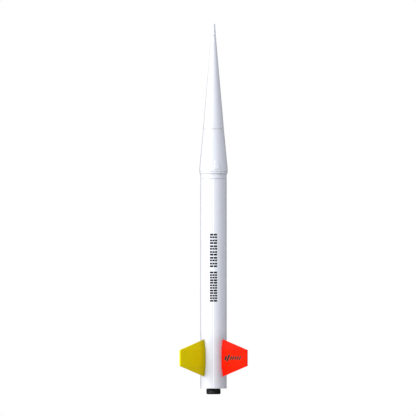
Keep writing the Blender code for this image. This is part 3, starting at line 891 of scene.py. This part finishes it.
def build_nose(paint):
    """The four turned pieces of the nose, with a fine chamfer at each joint."""
    tube_r = span("body_tube")[0]
    collar_foot = span("body_tube")[2] + PARTING + JOINT_OPEN
    low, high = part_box("nose_shoulder")
    shoulder_r = tube_r - TUBE_WALL - PARTING
    inner = shoulder_r - SHOULDER_WALL
    lip_top = low.z + SHOULDER_LIP / 2
    outline = [
        (inner, high.z),
        (tube_r, high.z),
        (tube_r, collar_foot + JOINT_CHAMFER),
        (tube_r - JOINT_CHAMFER, collar_foot),
        (shoulder_r, collar_foot),
        (shoulder_r, low.z + MM),
        (shoulder_r - SHOULDER_CHAMFER, low.z),
        (inner - SHOULDER_LIP, low.z),
        (inner - SHOULDER_LIP, lip_top),
        (inner, lip_top),
    ]
    mesh = turned("nose_shoulder_turned", rounded(outline, SOFT_EDGE))
    show("nose_shoulder_turned", mesh, [paint], "nose", "white_plastic", "nose_shoulder")

    base_r, foot, spigot_top = span("nose_cone_aft")
    forward_r, seam_z, forward_top = span("nose_cone_forward")
    _, tenon_foot, tip_top = span("nose_tip")
    tip_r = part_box("nose_tip")[1].x
    band_top = foot + CONE_BAND
    groove = foot + CONE_GROOVE
    shelf = seam_z - PARTING - JOINT_OPEN
    seam_foot = seam_z + JOINT_OPEN
    sleeve = tube_r + PARTING
    slope = (base_r - forward_r) / (seam_z - band_top)
    sleeve_top = band_top + (base_r - CONE_WALL - sleeve) / slope
    spigot_r = forward_r - CONE_WALL - 2 * PARTING
    forward_slope = (forward_r - tip_r) / (forward_top - seam_z)
    spigot_end = spigot_r - forward_slope * (spigot_top - seam_z)
    shelf_r = base_r - slope * (shelf - band_top)
    outline = [
        (spigot_end - CONE_WALL, spigot_top),
        (spigot_end, spigot_top),
        (spigot_r, shelf),
        (shelf_r - JOINT_CHAMFER, shelf),
        (shelf_r + slope * JOINT_CHAMFER, shelf - JOINT_CHAMFER),
        (base_r, band_top),
        (base_r, groove + CONE_GROOVE_HALF),
        (base_r - CONE_GROOVE_DEPTH, groove + CONE_GROOVE_HALF / 3),
        (base_r - CONE_GROOVE_DEPTH, groove - CONE_GROOVE_HALF / 3),
        (base_r, groove - CONE_GROOVE_HALF),
        (base_r, foot),
        (sleeve, foot),
        (sleeve, sleeve_top),
        (spigot_r - CONE_WALL, shelf - 2 * CONE_WALL),
        (spigot_r - CONE_WALL, shelf),
    ]
    mesh = turned("nose_base_cone", rounded(outline, SOFT_EDGE))
    show("nose_base_cone", mesh, [paint], "nose", "white_plastic", "nose_cone_aft")

    cone_end = forward_top - JOINT_OPEN
    outline = [
        (tip_r - CONE_WALL, cone_end),
        (tip_r - JOINT_CHAMFER, cone_end),
        (tip_r + forward_slope * JOINT_CHAMFER, cone_end - JOINT_CHAMFER),
        (forward_r - forward_slope * JOINT_CHAMFER, seam_foot + JOINT_CHAMFER),
        (forward_r - JOINT_CHAMFER, seam_foot),
        (forward_r - CONE_WALL, seam_foot),
    ]
    mesh = turned("nose_upper_cone", rounded(outline, SOFT_EDGE / 2))
    show("nose_upper_cone", mesh, [paint], "nose", "white_plastic", "nose_cone_forward")

    tip_foot = tenon_foot + TENON + JOINT_OPEN
    centre = tip_top - TIP_ROUND
    lean = math.atan2(tip_r - TIP_ROUND, centre - tip_foot)
    outline = [(0.0, tip_top)]
    for i in range(1, TIP_STEPS + 1):
        angle = math.pi / 2 + (lean - math.pi / 2) * i / TIP_STEPS
        outline.append((TIP_ROUND * math.cos(angle), centre + TIP_ROUND * math.sin(angle)))
    outline += [(tip_r, tip_foot + JOINT_CHAMFER), (tip_r - JOINT_CHAMFER, tip_foot), (TENON_R, tip_foot)]
    outline += [(TENON_R, tenon_foot), (0.0, tenon_foot)]
    mesh = turned("nose_tip_turned", rounded(outline, SOFT_EDGE), SMALL_STEPS)
    show("nose_tip_turned", mesh, [paint], "nose", "white_plastic", "nose_tip")


def build_fairing(paint):
    """A shallow arch-topped fairing that follows the cone, with a soft rim and a square lower edge."""
    base_r, foot, _ = span("nose_cone_aft")
    forward_r, seam_z, _ = span("nose_cone_forward")
    low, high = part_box("nose_fairing")
    band_top = foot + CONE_BAND
    arch_foot = low.z + FAIRING_FLANK

    def cone_r(z):
        return base_r - (base_r - forward_r) * max(0.0, z - band_top) / (seam_z - band_top)

    def half_width(z):
        if z <= arch_foot:
            return FAIRING_HALF + (ARCH_HALF - FAIRING_HALF) * (z - low.z) / (arch_foot - low.z)
        return ARCH_HALF * math.sqrt(max(0.0, 1 - ((z - arch_foot) / (high.z - arch_foot)) ** 2))

    bm = bmesh.new()
    rows = []
    for j in range(FAIRING_ROWS + 1):
        turn = math.pi / 2 * j / FAIRING_ROWS
        z = low.z + (high.z - low.z) * math.sin(turn)
        half = max(half_width(z), FAIRING_LEAST)
        rise = FAIRING_RISE_FOOT + (FAIRING_RISE_TOP - FAIRING_RISE_FOOT) * (z - low.z) / (high.z - low.z)
        row = []
        for i in range(-FAIRING_COLUMNS, FAIRING_COLUMNS + 1):
            across = math.sin(math.pi / 2 * i / FAIRING_COLUMNS)
            rim = min(1.0, (1 - abs(across)) * half / FAIRING_RIM, (high.z - z) / FAIRING_RIM)
            out = rise * math.sqrt(max(0.0, 1 - (1 - rim) ** 2))
            angle = FRONT + FAIRING_TURN + math.asin(across * half / base_r)
            around = (math.cos(angle), math.sin(angle))
            outside = [(cone_r(z) + out) * f for f in around]
            inside = [(cone_r(z) - MARK_SUNK) * f for f in around]
            row.append((bm.verts.new((*outside, z)), bm.verts.new((*inside, z))))
        rows.append(row)
    for here, after in zip(rows, rows[1:]):
        for i in range(2 * FAIRING_COLUMNS):
            bm.faces.new((here[i][0], here[i + 1][0], after[i + 1][0], after[i][0]))
            bm.faces.new((here[i][1], after[i][1], after[i + 1][1], here[i + 1][1]))
        for i in (0, 2 * FAIRING_COLUMNS):
            bm.faces.new((here[i][0], after[i][0], after[i][1], here[i][1]))
    for row in (rows[0], rows[-1]):
        for i in range(2 * FAIRING_COLUMNS):
            bm.faces.new((row[i][0], row[i][1], row[i + 1][1], row[i + 1][0]))
    bmesh.ops.remove_doubles(bm, verts=bm.verts, dist=FINE_WELD)
    mesh = outward(bm, bpy.data.meshes.new("nose_fairing_moulded"))
    show("nose_fairing_moulded", mesh, [paint], "nose", "white_plastic", "nose_fairing")


def build_bulkhead(wood, metal):
    """The bulkhead and the washer on its eye bolt."""
    radius, foot, top = span("nose_bulkhead")
    outline = [(0.0, top), (radius, top), (radius, foot), (0.0, foot)]
    mesh = drilled(turned("ply_bulkhead", rounded(outline, PLY_EDGE)), 0.0, foot, top)
    show("ply_bulkhead", mesh, [wood], "nose", "plywood", "nose_bulkhead")
    radius, foot, top = span("nose_washer")
    outline = rounded(ring(BOLT_HOLE_R, radius, foot, top), WASHER_EDGE)
    show("washer", turned("washer", outline, TINY_STEPS), [metal], "nose", "zinc_steel", "nose_washer")


# ---- recovery ----


def build_parachute(nylon):
    """The canopy rolled into a bundle: a lapped edge down its side and the roll's spiral at its ends."""
    radius, foot, top = span("parachute_pack")
    body_r = radius - ROLL_INSET
    core_r = body_r - ROLL_SOFT
    outline = []
    for centre_z, first, last in ((top - ROLL_SOFT, math.pi / 2, 0), (foot + ROLL_SOFT, 0, -math.pi / 2)):
        flat = [core_r * i / ROLL_END_POINTS for i in range(ROLL_END_POINTS)]
        arc = [first + (last - first) * i / ROLL_CORNER_POINTS for i in range(ROLL_CORNER_POINTS + 1)]
        curve = [(core_r + ROLL_SOFT * math.cos(a), centre_z + ROLL_SOFT * math.sin(a)) for a in arc]
        if first > 0:
            side = (top - foot - 2 * ROLL_SOFT) / ROLL_SIDE_POINTS
            outline += [(r, top) for r in flat] + curve
            outline += [(body_r, centre_z - side * i) for i in range(1, ROLL_SIDE_POINTS)]
        else:
            outline += curve + [(r, foot) for r in reversed(flat)]

    def roll(r, z, angle):
        turn = angle / math.tau
        end = 1 if z > (foot + top) / 2 else -1
        spiral = math.cos(math.tau * (r / ROLL_LAYER - end * turn))
        inward = max(0.0, 1 - abs(z - (top if end > 0 else foot)) / ROLL_SOFT)
        fold = 0.35 * math.sin(5 * angle + 90 * z) + 0.25 * math.sin(11 * angle - 140 * z)
        fold += 0.2 * math.sin(23 * angle + 60 * z) * math.sin(75 * z)
        lap = -ROLL_LAP * math.exp(-turn / ROLL_LAP_TURN) if r > ROLL_LAP_FROM * body_r else 0.0
        moved = r + r / body_r * (fold + lap) * MM
        dish = inward * ROLL_DISH * (1 + spiral) * MM * min(1.0, r / ROLL_CENTRE)
        return max(moved, 0.0), z - end * dish

    mesh = turned("parachute_roll", outline, STEPS, roll)
    piece = show("parachute_roll", mesh, [nylon], "airframe", "orange_nylon", "parachute_pack")


# ---- markings ----


def slab(bm, low, high, across, surface, lean=0.0):
    """A thin film over a surface: across and height run in a grid, and surface(a, z, out) gives the point."""
    grid = []
    for out in (-MARK_SUNK, MARK_DEPTH):
        for i in range(across + 1):
            for z, shift in ((low[1], -lean), (high[1], lean)):
                a = low[0] + (high[0] - low[0]) * i / across + shift
                grid.append(bm.verts.new(surface(a, z, out)))
    half = 2 * (across + 1)
    for i in range(across):
        a = 2 * i
        bm.faces.new((grid[a], grid[a + 1], grid[a + 3], grid[a + 2]))
        bm.faces.new((grid[half + a], grid[half + a + 2], grid[half + a + 3], grid[half + a + 1]))
        bm.faces.new((grid[a], grid[a + 2], grid[half + a + 2], grid[half + a]))
        bm.faces.new((grid[a + 1], grid[half + a + 1], grid[half + a + 3], grid[a + 3]))
    for a in (0, 2 * across):
        bm.faces.new((grid[a], grid[half + a], grid[half + a + 1], grid[a + 1]))


def film(name, bm, finish, slot):
    """Shows a finished marking."""
    show(name, outward(bm, bpy.data.meshes.new(name)), [finish], "airframe", slot)


def build_tube_markings(black):
    """Two groups of plain stencil bars up the tube, which spell nothing."""
    radius = span("body_tube")[0]

    def on_tube(across, z, out):
        angle = FRONT + across / radius
        away = radius + out + (SEAM_RISE if abs(across) < SEAM_HALF else 0.0)
        return (away * math.cos(angle), away * math.sin(angle), z)

    for number, (foot, top) in enumerate(MARK_GROUPS, start=1):
        bm = bmesh.new()
        pitch = (top - foot - MARK_BAR - MARK_BARS_APART) / (BLOCKS_IN_GROUP - 1)
        for block in range(BLOCKS_IN_GROUP):
            for bar in (0, 1):
                low_z = foot + block * pitch + bar * MARK_BARS_APART
                pieces = 2 + (block + bar) % 2
                length = (2 * MARK_HALF + MARK_GAP) / pieces
                for k in range(pieces):
                    start = -MARK_HALF + k * length
                    high = (start + length - MARK_GAP, low_z + MARK_BAR)
                    slab(bm, (start, low_z), high, MARK_COLUMNS, on_tube)
        film(f"tube_marking_{number}", bm, black, "white_paint")


def build_fin_marking(green):
    """Plain slanting bars on the outer face of the red front fin."""
    place_angle = math.radians(FIN_PLACES["front_right"])
    root_r = span("body_tube")[0] + PARTING

    def on_fin(along, z, out):
        share = (along - root_r) / (FIN_TIP_R - root_r)
        half = FIN_ROOT_HALF + (FIN_TIP_HALF - FIN_ROOT_HALF) * share + out
        return Matrix.Rotation(place_angle, 3, "Z") @ Vector((along, -half, z))

    bm = bmesh.new()
    for centre, width, height in FIN_MARK_BARS:
        half_z = height * MM / 2
        start = (centre - width / 2) * MM
        end = (centre + width / 2) * MM
        lean = FIN_MARK_LEAN * half_z
        slab(bm, (start, FIN_MARK_Z - half_z), (end, FIN_MARK_Z + half_z), 1, on_fin, lean)
    film("fin_marking", bm, green, "red_plastic")


# ---- studio ----


def build_floor():
    """A large pale floor, level with the retainer cap's lower face."""
    mesh = bpy.data.meshes.new("floor")
    corners = [(x * FLOOR_HALF, y * FLOOR_HALF, 0) for x, y in ((-1, -1), (1, -1), (1, 1), (-1, 1))]
    mesh.from_pydata(corners, [], [(0, 1, 2, 3)])
    floor = bpy.data.objects.new("floor", mesh)
    bpy.context.scene.collection.objects.link(floor)
    made, _, shader = principled("pale_floor", 0.7, specular=0.1)
    shader.inputs["Base Color"].default_value = FLOOR_COLOUR
    mesh.materials.append(made)
    floor.visible_glossy = False


def build_sun(name, azimuth, elevation, strength, softness):
    """A distant soft light that shines from this direction."""
    data = bpy.data.lights.new(name, "SUN")
    data.energy = strength
    data.angle = math.radians(softness)
    lamp = bpy.data.objects.new(name, data)
    a, e = math.radians(azimuth), math.radians(elevation)
    towards = Vector((math.sin(a) * math.cos(e), -math.cos(a) * math.cos(e), math.sin(e)))
    lamp.rotation_euler = towards.to_track_quat("Z", "Y").to_euler()
    bpy.context.scene.collection.objects.link(lamp)


def build_world():
    """White behind the object for the camera, an even sky for diffuse light, and dim walls for gloss."""
    world = bpy.data.worlds.new("studio")
    bpy.context.scene.world = world
    world.use_nodes = True
    tree = world.node_tree
    parts = split(tree, node(tree, "ShaderNodeTexCoord").outputs["Generated"])
    reflected = mixed(tree, remap(tree, parts["Y"], *WALL_BLEND), WALL_FRONT, WALL_BACK)
    path = node(tree, "ShaderNodeLightPath")
    lit = mixed(tree, path.outputs["Is Glossy Ray"], SKY, reflected)
    seen = mixed(tree, path.outputs["Is Camera Ray"], lit, (1.0, 1.0, 1.0))
    tree.links.new(seen, tree.nodes["Background"].inputs["Color"])


def build_studio():
    build_floor()
    build_world()
    for sun in SUNS:
        build_sun(*sun)
    camera = bpy.data.objects.new("camera", bpy.data.cameras.new("camera"))
    camera.data.type = "ORTHO"
    camera.data.ortho_scale = VIEW_WIDTH
    camera.location = (VIEW_X, -VIEW_DISTANCE, VIEW_Z)
    camera.rotation_euler = (math.pi / 2, 0, 0)
    bpy.context.scene.collection.objects.link(camera)
    bpy.context.scene.camera = camera
    bpy.context.scene.view_settings.view_transform = "Standard"


def build():
    paint = gloss_white("white_paint", tube=True)
    plastic = gloss_white("white_plastic", tube=False)
    red = moulded("red_plastic", RED)
    yellow = moulded("yellow_plastic", YELLOW)
    black = black_anodised()
    card = kraft()
    wood = plywood()
    steel = zinc_steel()

    build_tube(paint, card)
    build_motor_mount(card, wood)
    build_retainer_body(black)
    build_cap(black)
    build_fins(red, yellow)
    build_lugs(paint)
    build_eye_bolt("anchor_eye_bolt", "airframe", steel, True, ANCHOR_THREAD_LENGTH)
    build_nut("anchor_nut", "airframe", steel)
    build_parachute(ripstop())
    build_nose(plastic)
    build_fairing(plastic)
    build_bulkhead(wood, steel)
    build_eye_bolt("nose_eye_bolt", "nose", steel, False, NOSE_THREAD_LENGTH)
    build_nut("nose_nut", "nose", steel)
    build_tube_markings(ink("black_ink", BLACK_INK))
    build_fin_marking(ink("green_ink", GREEN_INK))
    build_studio()


build()
